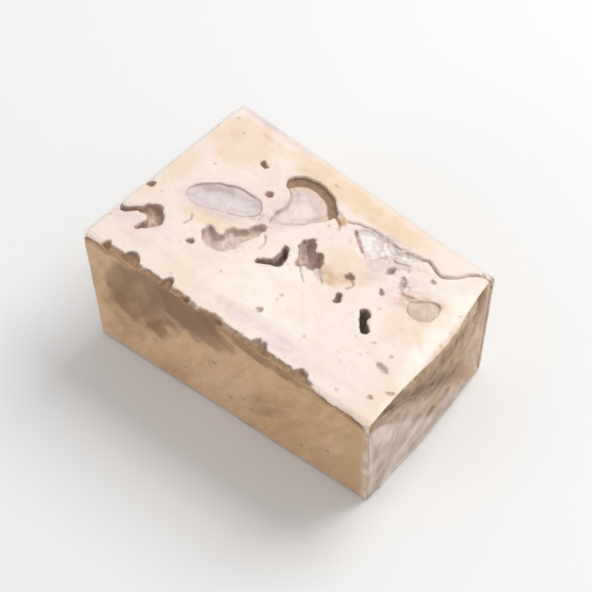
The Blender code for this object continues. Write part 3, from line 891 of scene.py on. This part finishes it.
def carve_top(x, y):
    """The top face's relief: how deep each point is, and the colour values that go with it. The rim value is
    painted shade along the pockets, crumbs, cracks, nut sockets and the front edge.
    """
    field = pocket_field(x, y, top_pockets() + bubbles(0))
    smear = patches(x, y, SMEARS)
    depth, rim = field["depth"] * (1 - 0.8 * smear), field["rim"] * (1 - 0.8 * smear)
    field["tone"] = field["tone"] * (1 - 0.35 * smear)
    wave_x, wave_y = x + 0.15 * noise(x, y, 1.1, 27), y + 0.15 * noise(x, y, 1.1, 28)
    crumbs = noise(x, y, 1.0, 71) + 0.6 * noise(x, y, 0.45, 72)
    crumbs = patches(x, y, CRUMBLY_PATCHES) * smooth(0.0, 0.55, crumbs)
    depth = np.maximum(depth, 0.4 * crumbs)
    field["hollow"] = np.maximum(field["hollow"], 0.75 * crumbs)
    rim = np.maximum(rim, 0.28 * crumbs * smooth(0.1, 0.6, noise(x, y, 0.7, 73)))
    for deep, wide, route in CRACKS:
        groove = np.exp(-(to_route(wave_x, wave_y, route) / (wide / 2)) ** 2)
        depth = np.maximum(depth, deep * groove)
        rim = np.maximum(rim, min(0.8, 0.3 + deep / 2) * groove)
    for deep, _, _, outline in ALMONDS.values():
        nut = smooth_curve(outline, 4, closed=True)
        reach = inside(wave_x, wave_y, nut) - ALMOND_OVERLAP
        depth = np.maximum(depth, smooth(-0.05, 0.12, reach) * (deep + 0.6))
        field["hollow"] = np.maximum(field["hollow"], smooth(-0.05, 0.1, reach))
        # Painted shade: the socket round each nut gets a floor tone between tan and dark.
        field["tone"] = np.where(reach > -0.1, 0.6, field["tone"])
        rim = np.maximum(rim, 0.3 * np.exp(-(reach / 0.12) ** 2))
    past = front_edge(x) - y
    edge = smooth(0.0, 0.4, past)
    chips = chipped(x)
    edge_depth = EDGE_DEPTH + (CHIP_DEPTH - EDGE_DEPTH) * chips
    depth = np.maximum(depth, edge_depth * edge * (0.6 + 0.4 * smooth(0.2, 1.6, past)))
    # Painted shadow: a dark line just past the torn front edge, and a wider one into the chips, where the
    # nougat's top edge shades the wafer.
    rim = np.maximum(rim, 0.85 * np.exp(-((past - 0.15) / 0.2) ** 2))
    rim = np.maximum(rim, 0.75 * np.sqrt(chips) * np.exp(-((past - 0.4) / 0.6) ** 2) * edge)
    field.update(depth=depth, rim=rim, crust=smooth(0.05, 0.3, past))
    field["lavender"] = patches(x, y, LAVENDER_PATCHES)
    field["butter"] = patches(x, y, BUTTER_PATCHES)
    field["tan"] = patches(x, y, TAN_PATCHES)
    depth += 0.25 * field["tan"] * smooth(-0.2, 0.3, noise(x, y, 1.2, 24))
    return field


def above_fold(y, z):
    """How far each point of an end is above the slanted edge of the film's upper flap."""
    down, across = np.transpose(TOP_FLAP_LEFT)
    return z - np.interp(y, across, HEIGHT - down)


def end_crack(y, z):
    """1 in the crack down the right end, and 0 away from it."""
    low, high = END_CRACK[-1][1], END_CRACK[0][1]
    half = END_CRACK_WIDTH / 2 * np.clip((z - low) / (high - low), 0.12, 1)
    return np.exp(-(to_route(y, z, END_CRACK) / half) ** 2)


def worn_end(x, y, z):
    """The ends' relief: how far in each point is, and the colour values that go with it. The brown is painted
    shade, with faint streaks along the strands: the ends lie in shade, darkest in bands along the film's
    upper flap and across the end, in the crack and in the pits.
    """
    along_fold, across_fold = (y - 0.8 * z) / 1.28, (z + 0.8 * y) / 1.28
    strands = noise(across_fold, along_fold * 0.35, 2.0, 38)
    torn = smooth(0.15, 0.6, noise(y, z, 2.4, 35)) + 0.6 * smooth(0.3, 0.7, noise(y, z, 1.0, 39))
    pits = 0.45 * torn
    crack = end_crack(y, z) * (x > 0)
    inward = pits + (0.25 * strands + 0.10 * noise(y, z, 0.9, 36)) + END_CRACK_DEPTH * crack
    above = above_fold(y, z)
    # Painted shade: brown bands along the edge of the film's upper flap and across the end, stronger on the
    # right end.
    fold_band = np.exp(-((above - 0.6) / 2.6) ** 2) * smooth(11.0, 3.0, y)
    high_band = 0.6 * np.exp(-((z - 21.5) / 2.0) ** 2) * smooth(-9.0, -3.0, y) * smooth(11.0, 7.0, y)
    brown = np.where(x > 0, 1.3, 0.35) * np.maximum(fold_band, high_band) * smooth(-21.0, -15.0, y)
    brown = brown + 0.1 * smooth(-1.0, 3.0, above) * smooth(14.0, 8.0, y) * smooth(26.5, 22.5, z)
    brown = brown + 0.1 * smooth(-0.1, 0.6, strands) + 0.1 * pits + 0.5 * crack ** 0.3
    # Painted shade in the crack: its floor turns dark.
    dark = smooth(0.25, 0.7, crack)
    hollow = np.maximum(0.6 * pits, dark)
    return {"inward": inward, "hollow": hollow, "dark": dark, "brown": np.clip(brown, 0, 1)}


def nougat(material):
    """The core, with its pockets, cracks and sockets, its torn front and back lips and its worn ends."""
    half_x = LENGTH / 2 - NOUGAT_END
    half_y = WIDTH / 2 - WAFER - GAP
    low = (-half_x, -half_y, NOUGAT_TOP)
    high = (half_x, half_y, HEIGHT - NOUGAT_TOP)
    z_lines = np.concatenate([spaced(low[2], high[2] - 3.0, 0.35)[:-1], spaced(high[2] - 3.0, high[2], GRID)])
    lines = [spaced(low[0], high[0], GRID), spaced(low[1], high[1], GRID), z_lines]
    straight, quads, places = box_surface(lines)
    on_top = on_last(places, 2)
    below = places[:, 2] == 0
    front = places[:, 1] == 0
    back = on_last(places, 1)
    ends = np.abs(straight[:, 0]) > half_x - 1e-6
    points = in_block(rounded(straight, low, high, NOUGAT_ROUND))
    x, y, z = points.T.copy()
    top = carve_top(x, y)
    under = pocket_field(x, y, under_pockets() + bubbles(1))
    worn = worn_end(x, y, z)
    relief = 0.07 * noise(x, y, 6.0, 31) + 0.03 * noise(x, y, 1.6, 32) + 0.015 * noise(x, y, 0.6, 33)
    share = np.clip(straight[:, 2] / HEIGHT, 0, 1)
    upper = smooth(high[2] - 3.2, high[2] - 0.6, straight[:, 2])
    near_top = smooth(HEIGHT - LIP_HEIGHT, HEIGHT - 0.9, straight[:, 2])
    points[:, 2] += share * relief - upper * top["depth"] + (1 - share) * under["depth"] * below
    points[:, 1] -= np.clip(-half_y + 0.1 - front_edge(x), CRUST_LIP, NOUGAT_LIP) * front * near_top
    points[:, 1] += (NOUGAT_LIP - 0.1 + 0.1 * wave(x, 1.4, 34)) * back * near_top
    points[:, 0] -= np.sign(straight[:, 0]) * worn["inward"] * ends

    def by_face(key, elsewhere):
        return np.where(on_top, top[key], np.where(below, under[key], elsewhere))

    values = {"hollow": by_face("hollow", worn["hollow"] * ends),
              "tone": by_face("tone", np.maximum(0.5, worn["dark"] * ends)),
              "rim": by_face("rim", 0),
              "crust": top["crust"] * np.where(on_top, 1, front * near_top),
              # The end and brown values tint the ends as painted shade.
              "end": smooth(half_x - 1.0, half_x, np.abs(straight[:, 0])) * ~on_top * 0.9,
              "lavender": np.where(on_top, top["lavender"], 0.25),
              "butter": np.where(on_top, top["butter"], 0.6 * ends + 0.2),
              "brown": worn["brown"] * ends,
              "tan": np.where(on_top, top["tan"], 0)}
    piece = make_piece("nougat_block", points, quads, material, values, ["nougat"])
    thinner = piece.modifiers.new("Fewer triangles", "DECIMATE")
    thinner.ratio = MOST_TRIANGLES / (2 * len(quads))


def wafer(side, material):
    """One wafer sheet with its ribs and pits. side is -1 at the front and 1 at the back."""
    outer = side * (WIDTH / 2 - WAFER_FACE)
    inner = side * (WIDTH / 2 - WAFER)
    half_x = LENGTH / 2 - NOUGAT_END
    low = (-half_x, min(outer, inner), NOUGAT_TOP)
    high = (half_x, max(outer, inner), HEIGHT - 0.7)
    lines = [spaced(a, b, step) for a, b, step in zip(low, high, WAFER_STEPS)]
    points, quads, places = box_surface(lines)
    x, z = points[:, 0].copy(), points[:, 2].copy()
    points = rounded(points, low, high, 0.2)
    upper = smooth(high[2] - 5.0, high[2], z)
    ragged = 0.25 * wave(x, 2.2, 41) + 0.15 * wave(x, 0.7, 43)
    if side < 0:
        drop = 1.4 * np.clip(-WIDTH / 2 + WAFER + GAP - front_edge(x), 0, 0.8) + 0.5 * chipped(x)
    else:
        drop = BACK_LIP_DROP
    points[:, 2] += upper * (ragged - drop)
    outside = places[:, 1] == 0 if side < 0 else on_last(places, 1)
    slant = x + 0.35 * z + 0.2 * noise(x, z, 4.0, 44)
    rib = np.cos(2 * np.pi * slant / RIB_PITCH)
    sag = 0.12 * noise(x, z, 9.0, 45 + side) + 0.04 * noise(x, z, 2.5, 47 + side)
    wave_x, wave_z = x + 0.3 * noise(x, z, 0.8, 48), z + 0.3 * noise(x, z, 0.8, 50)
    pit = np.zeros(x.shape)
    for pit_x, pit_z in WAFER_PITS:
        pit = np.maximum(pit, np.exp(-(np.hypot(wave_x - pit_x, (wave_z - pit_z) * 1.3) / WAFER_PIT) ** 2))
    points[:, 1] -= side * outside * (0.10 - RIB_HEIGHT * rib - 0.6 * sag + 0.25 * pit)
    dark = patches(x, z, FRONT_DARK_PATCHES if side < 0 else BACK_DARK_PATCHES)
    # Painted shade: the wafer darkens just under its top edge, where the nougat's lip overhangs it.
    dark = np.maximum(dark, 0.6 * smooth(HEIGHT - 2.6, HEIGHT - 1.2, z))
    # The rib shade value darkens the valleys between the ribs as painted shade.
    values = {"dark": dark, "olive": patches(x, z, OLIVE_STAINS),
              "rib_shade": outside * (0.5 - 0.5 * rib), "pit": 0.8 * pit * outside}
    name = "front" if side < 0 else "back"
    make_piece(f"wafer_sheet_{name}", in_block(points), quads, material, values, [f"wafer_{name}"])


def almond(name, values, material):
    """A nut that the knife went through: its cut face, level with the nougat's, over a round underside."""
    deep, sunk, creamy, outline = values
    rim = smooth_curve(outline, ALMOND_STEPS, closed=True)
    middle = np.mean(outline, axis=0)
    count = len(rim)
    cut = [(1 - (1 - t) ** 1.6, True) for t in np.linspace(0.02, 1.0, ALMOND_RINGS)]
    under = [(math.cos(t), False) for t in np.linspace(0, math.pi / 2, 14)[1:-1]]
    points = []
    for reach, cut_face in cut + under:
        px, py = (middle + (rim - middle) * reach).T
        top = in_block(np.stack([px, py, np.full(count, HEIGHT)], axis=1))[:, 2] - sunk - NOUGAT_TOP
        pz = top if cut_face else top - deep * math.sqrt(1 - reach * reach)
        points.append(np.stack([px, py, pz], axis=1))
    rings = len(points)
    points = np.concatenate(points)
    x, y = points[:, 0], points[:, 1]
    on_cut = np.repeat([cut_face for _, cut_face in cut + under], count)
    edge = np.where(on_cut, inside(x, y, rim), 0.0)
    arc_width, arc_route = SKIN_AND_SHADOW_ARC
    arc = to_route(x + 0.15 * noise(x, y, 0.8, 52), y + 0.15 * noise(x, y, 0.8, 53), arc_route)
    arc = smooth(arc_width, arc_width - 0.35, arc + 0.5 * smooth(-2.0, 0.8, x)) * on_cut
    lens = 0.12 * noise(x, y, 1.5, 51) + 0.05 * noise(x, y, 0.6, 55) - 0.12 * smooth(0.0, 2.0, edge)
    points[:, 2] += on_cut * smooth(0.0, 0.4, edge) * (lens - 0.25 * arc)
    faces = [(ring * count + (i + 1) % count, ring * count + i, (ring + 1) * count + i,
              (ring + 1) * count + (i + 1) % count) for ring in range(rings - 1) for i in range(count)]
    faces.append(tuple(range(count)))
    faces.append(tuple((rings - 1) * count + i for i in reversed(range(count))))
    tints = {"edge": edge, "arc": arc, "creamy": np.full(len(x), creamy),
             "warm": smooth(0.0, 2.5, arc_width + 2.2 - to_route(x, y, arc_route)) * on_cut,
             "pale": 0.6 * smooth(0.8, 2.6, edge),
             "white": patches(x, y, PALE_PATCHES) * smooth(0.2, 1.2, edge)}
    make_piece(f"{name}_nut", points, faces, material, tints, [name])


# The film

def film_skin(material):
    """The film round the block's long faces, which spans the pockets and is drawn tight over the edges."""
    half_x = LENGTH / 2 - SKIN_END
    low = (-half_x, SKIN_FACE - WIDTH / 2, SKIN_BOTTOM)
    high = (half_x, WIDTH / 2 - SKIN_FACE, HEIGHT - SKIN_FACE)
    lines = [spaced(a, b, FILM_STEP) for a, b in zip(low, high)]
    points, quads, places = box_surface(lines)
    at_end = (places[:, 0] == 0) | on_last(places, 0)
    quads = quads[~at_end[quads].all(axis=1)]
    points = rounded(points, low, high, SKIN_ROUND)
    x, y, z = points.T.copy()
    on_top = on_last(places, 2)
    on_side = (places[:, 1] == 0) | on_last(places, 1)
    sag = pocket_field(x, y, top_pockets())["sag"] * 0.25
    waves = 0.05 + 0.05 * noise(x, y, 7.0, 61) + 0.01 * noise(x, y, 1.5, 62)
    gathers = 0.12 * ridges(0.45 * x + 0.3 * noise(x, y, 3.0, 65), 66)
    gathers = gathers * smooth(WIDTH / 2 - 4.0, WIDTH / 2 - 0.5, y)
    creases = 0.18 * np.exp(-(to_route(x, y - 0.5, CRACKS[0][2]) / 0.35) ** 2)
    for high_up, route in FILM_CREASES:
        creases = np.maximum(creases, high_up * np.exp(-(to_route(x, y, route) / 0.4) ** 2))
    points[:, 2] -= on_top * (waves + sag + gathers * smooth(-8.0, -14.0, x) - creases)
    points[:, 1] += on_side * np.sign(-y) * (0.04 + 0.04 * noise(x + z, z, 4.0, 63))
    # Painted highlight, partly the layered film: whitish haze along the upright edge at the right end and
    # along the foot of the long faces, and on the creases over the top.
    upright = smooth(half_x - 2.0, half_x - 0.4, x) * on_side
    foot = np.clip((3.0 - z) / 2.0, 0, 1) * on_side
    haze = (0.85 * upright + 0.25 * foot) * (0.7 + 0.5 * noise(x * 0.5, z, 1.2, 64))
    leaning = ridges((x + 0.5 * z) * 0.16 + 0.5 * noise(x, z, 8.0, 67), 68)
    haze = haze + 0.10 * leaning * on_side * smooth(-0.2, 0.5, noise(x, z, 7.0, 69)) + 0.3 * creases * on_top
    used = np.unique(quads)
    renumber = np.full(len(points), -1)
    renumber[used] = np.arange(len(used))
    shine = 1 - 0.65 * smooth(half_x - 1.4, half_x - 0.3, np.abs(x))
    values = {"haze": np.clip(haze, 0, 1)[used], "shade": np.zeros(len(used)), "shine": shine[used]}
    make_piece("film_skin", in_block(points[used]), renumber[quads], material, values)


def around_corner(along):
    """A path along one face that turns down the next: how far back on the first and down the other it is."""
    reach = np.sqrt(along ** 2 + FOLD_ROUND ** 2)
    return (along - reach) / 2, (along + reach) / 2


def fans(across, up, corners, seed):
    """Creases that run out from a flap's corners."""
    height = np.zeros(across.shape)
    for count, (corner_across, corner_up) in enumerate(corners):
        angle = np.arctan2(up - corner_up, across - corner_across)
        away = np.hypot(up - corner_up, across - corner_across)
        fading = smooth(0.5, 5.0, away) * np.exp(-away / 22.0)
        height += ridges(angle * 7.0 + 3.0 * count, seed + count) * fading
    return height


def flap(name, end, face, low_edge, high_edge, inset, haze, fan_corners, material, seed, replaces):
    """One layer of folded film on an end. It starts on a face next to the end and turns down over the edge.

    The two edges are given as (how far past the edge, where across it)."""
    last = low_edge[-1][0]
    row = spaced(FLAP_START, last, FILM_STEP)[:, None]
    share = np.linspace(0, 1, FLAP_POINTS)[None, :]
    uneven = 1 + 0.10 * wave(share * 9, 1.0, seed + 20) + 0.04 * wave(share * 40, 1.0, seed + 21)
    along = np.where(row > 0, row * uneven, row)
    sides = []
    for count, route in enumerate((low_edge, high_edge)):
        side = np.interp(along, *np.transpose(route))
        sides.append(side + 0.25 * wave(along, 2.2, seed + 22 + count) * smooth(1.0, 3.0, along))
    start, stop = sides
    across = start * (1 - share) + stop * share
    back, down = around_corner(along)
    y, z = {"top": (across, HEIGHT - 0.02 - down), "bottom": (across, 0.02 + down),
            "front": (down - WIDTH / 2 + 0.03, across), "back": (WIDTH / 2 - 0.03 - down, across)}[face]
    free = smooth(0.3, 4.0, along)
    border = np.sin(np.pi * share) ** 0.35
    fan = fans(y, z, fan_corners, seed)
    creased = 0.45 * fan + 0.12 * noise(y + z, z - y, 4.5, seed + 5)
    long_creases = 0.18 * ridges(down * 0.45 + 0.8 * noise(y, z, 6.0, seed + 6), seed + 7)
    out = LENGTH / 2 - inset + back + free * (0.12 * border + creased + long_creases - 0.25)
    x = end * np.minimum(out, LENGTH / 2 + FILM_OUT)
    edge = np.minimum(share * (stop - start), (1 - share) * (stop - start))
    if face == "front":
        under_fold = smooth(0.4, -2.6, above_fold(y, z) + 0.7 * noise(y, z, 2.0, seed + 11))
        haze = haze * (0.12 + 0.88 * under_fold)
    # Painted highlight: whitish lines along the flap's side edges and its far edge, and lighter creases, for
    # the light that the folds catch.
    line = 0.3 * np.exp(-(edge / 0.3) ** 2) * smooth(-0.5, 0.6, noise(y, z, 3.0, seed + 13))
    veil = haze * (0.75 + 0.5 * noise(y, z, 3.0, seed + 8) + 0.9 * (fan - 0.3)) + line
    veil = (veil + 0.12 * np.exp(-((row - last) / 0.4) ** 2)) * smooth(-0.6, 0.6, along)
    band = np.exp(-((share * (stop - start) - 2.2) / 2.6) ** 2) * (0.6 + 0.6 * noise(y, z, 2.5, seed + 9))
    shade = smooth(0.5, 3.0, along) * (0.4 * band + 0.15) if face == "top" else 0 * x
    grid = np.stack([x.ravel(), y.ravel(), z.ravel()], axis=1)
    index = np.arange(x.size).reshape(x.shape)
    quads = np.stack([index[:-1, :-1], index[:-1, 1:], index[1:, 1:], index[1:, :-1]], axis=-1)
    values = {"haze": np.clip(veil, 0, 1).ravel(), "shade": np.clip(shade, 0, 1).ravel(),
              "shine": (0.35 + 0.65 * smooth(0.8, 2.5, along)).ravel()}
    make_piece(name, in_block(grid), quads.reshape(-1, 4), material, values, replaces)


def film_folds(end, material):
    side, seed = END_SIDES[end]
    for count, (name, fold) in enumerate(FOLDS.items()):
        replaces = [f"film_end_{side}"] if name == "flap_top" else []
        flap(f"film_{name}_{side}", end, *fold, material, seed + 1 + 10 * count, replaces)


# The scene

def floor():
    corners = [(-1, -1), (1, -1), (1, 1), (-1, 1)]
    mesh = bpy.data.meshes.new("floor")
    mesh.from_pydata([(x * FLOOR_HALF, y * FLOOR_HALF, 0) for x, y in corners], [], [(0, 1, 2, 3)])
    material, tree = new_material("floor_pale")
    shown(tree, node(tree, "ShaderNodeBsdfPrincipled", Base_Color=FLOOR_COLOUR, Roughness=0.6))
    mesh.materials.append(material)
    obj = add_object("floor", mesh)


def view_axes():
    """The directions back to the camera, to its right and up, with its roll."""
    a, e, r = (math.radians(v) for v in (CAMERA_AZIMUTH, CAMERA_ELEVATION, CAMERA_ROLL))
    back = Vector((math.sin(a) * math.cos(e), -math.cos(a) * math.cos(e), math.sin(e)))
    level = Vector((math.cos(a), math.sin(a), 0.0))
    rise = back.cross(level)
    return back, level * math.cos(r) + rise * math.sin(r), rise * math.cos(r) - level * math.sin(r)


def camera():
    back, right, up = view_axes()
    data = bpy.data.cameras.new("camera")
    data.sensor_fit = "HORIZONTAL"
    data.sensor_width = SENSOR
    data.lens = SENSOR * PIXELS_PER_MM * CAMERA_DISTANCE / FRAME_PIXELS
    data.clip_start = 0.01
    obj = add_object("camera", data)
    place_at = (Vector((0, 0, AIM_HEIGHT)) + back * CAMERA_DISTANCE) * MM
    obj.matrix_world = Matrix.Translation(place_at) @ Matrix((right, up, back)).transposed().to_4x4()
    bpy.context.scene.camera = obj
    return place_at


def area_light(name, location, size, power, aim, light_tint=(1, 1, 1)):
    """A rectangular light at location that faces aim, with its width along X."""
    data = bpy.data.lights.new(name, "AREA")
    data.shape = "RECTANGLE"
    data.size, data.size_y = size
    data.energy = power
    data.color = light_tint
    back = (Vector(location) - Vector(aim)).normalized()
    upright = back.cross(Vector((1, 0, 0))).normalized()
    obj = add_object(name, data)
    turn = Matrix((upright.cross(back), upright, back)).transposed().to_4x4()
    obj.matrix_world = Matrix.Translation(location) @ turn


def lights(eye):
    """A soft key from behind and above, a fill from the front, two small glints and an even pale world."""
    middle = (0, 0, AIM_HEIGHT * MM)
    for name, (location, size, power, light_tint) in LIGHTS.items():
        area_light(name, location, size, power, middle, light_tint)
    for count, (at, size) in enumerate(GLINTS):
        spot = Vector((at[0], at[1], HEIGHT)) * MM
        below = Vector((eye.x, eye.y, 2 * spot.z - eye.z))
        power = GLINT_STRENGTH * size[0] * size[1]
        area_light(f"glint_{count}", spot + (spot - below).normalized() * GLINT_DISTANCE, size, power, spot)
    world = bpy.data.worlds.new("world")
    world.use_nodes = True
    background = world.node_tree.nodes["Background"]
    background.inputs["Color"].default_value = WORLD_COLOUR
    background.inputs["Strength"].default_value = WORLD_STRENGTH
    bpy.context.scene.world = world


def main():
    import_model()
    bpy.context.scene.view_settings.view_transform = "Standard"
    lights(camera())
    floor()
    nougat(nougat_material())
    wafer_look = wafer_material()
    for side in (-1, 1):
        wafer(side, wafer_look)
    almond_look = almond_material()
    for name, values in ALMONDS.items():
        almond(name, values, almond_look)
    film = film_material()
    film_skin(film)
    for end in (-1, 1):
        film_folds(end, film)


main()
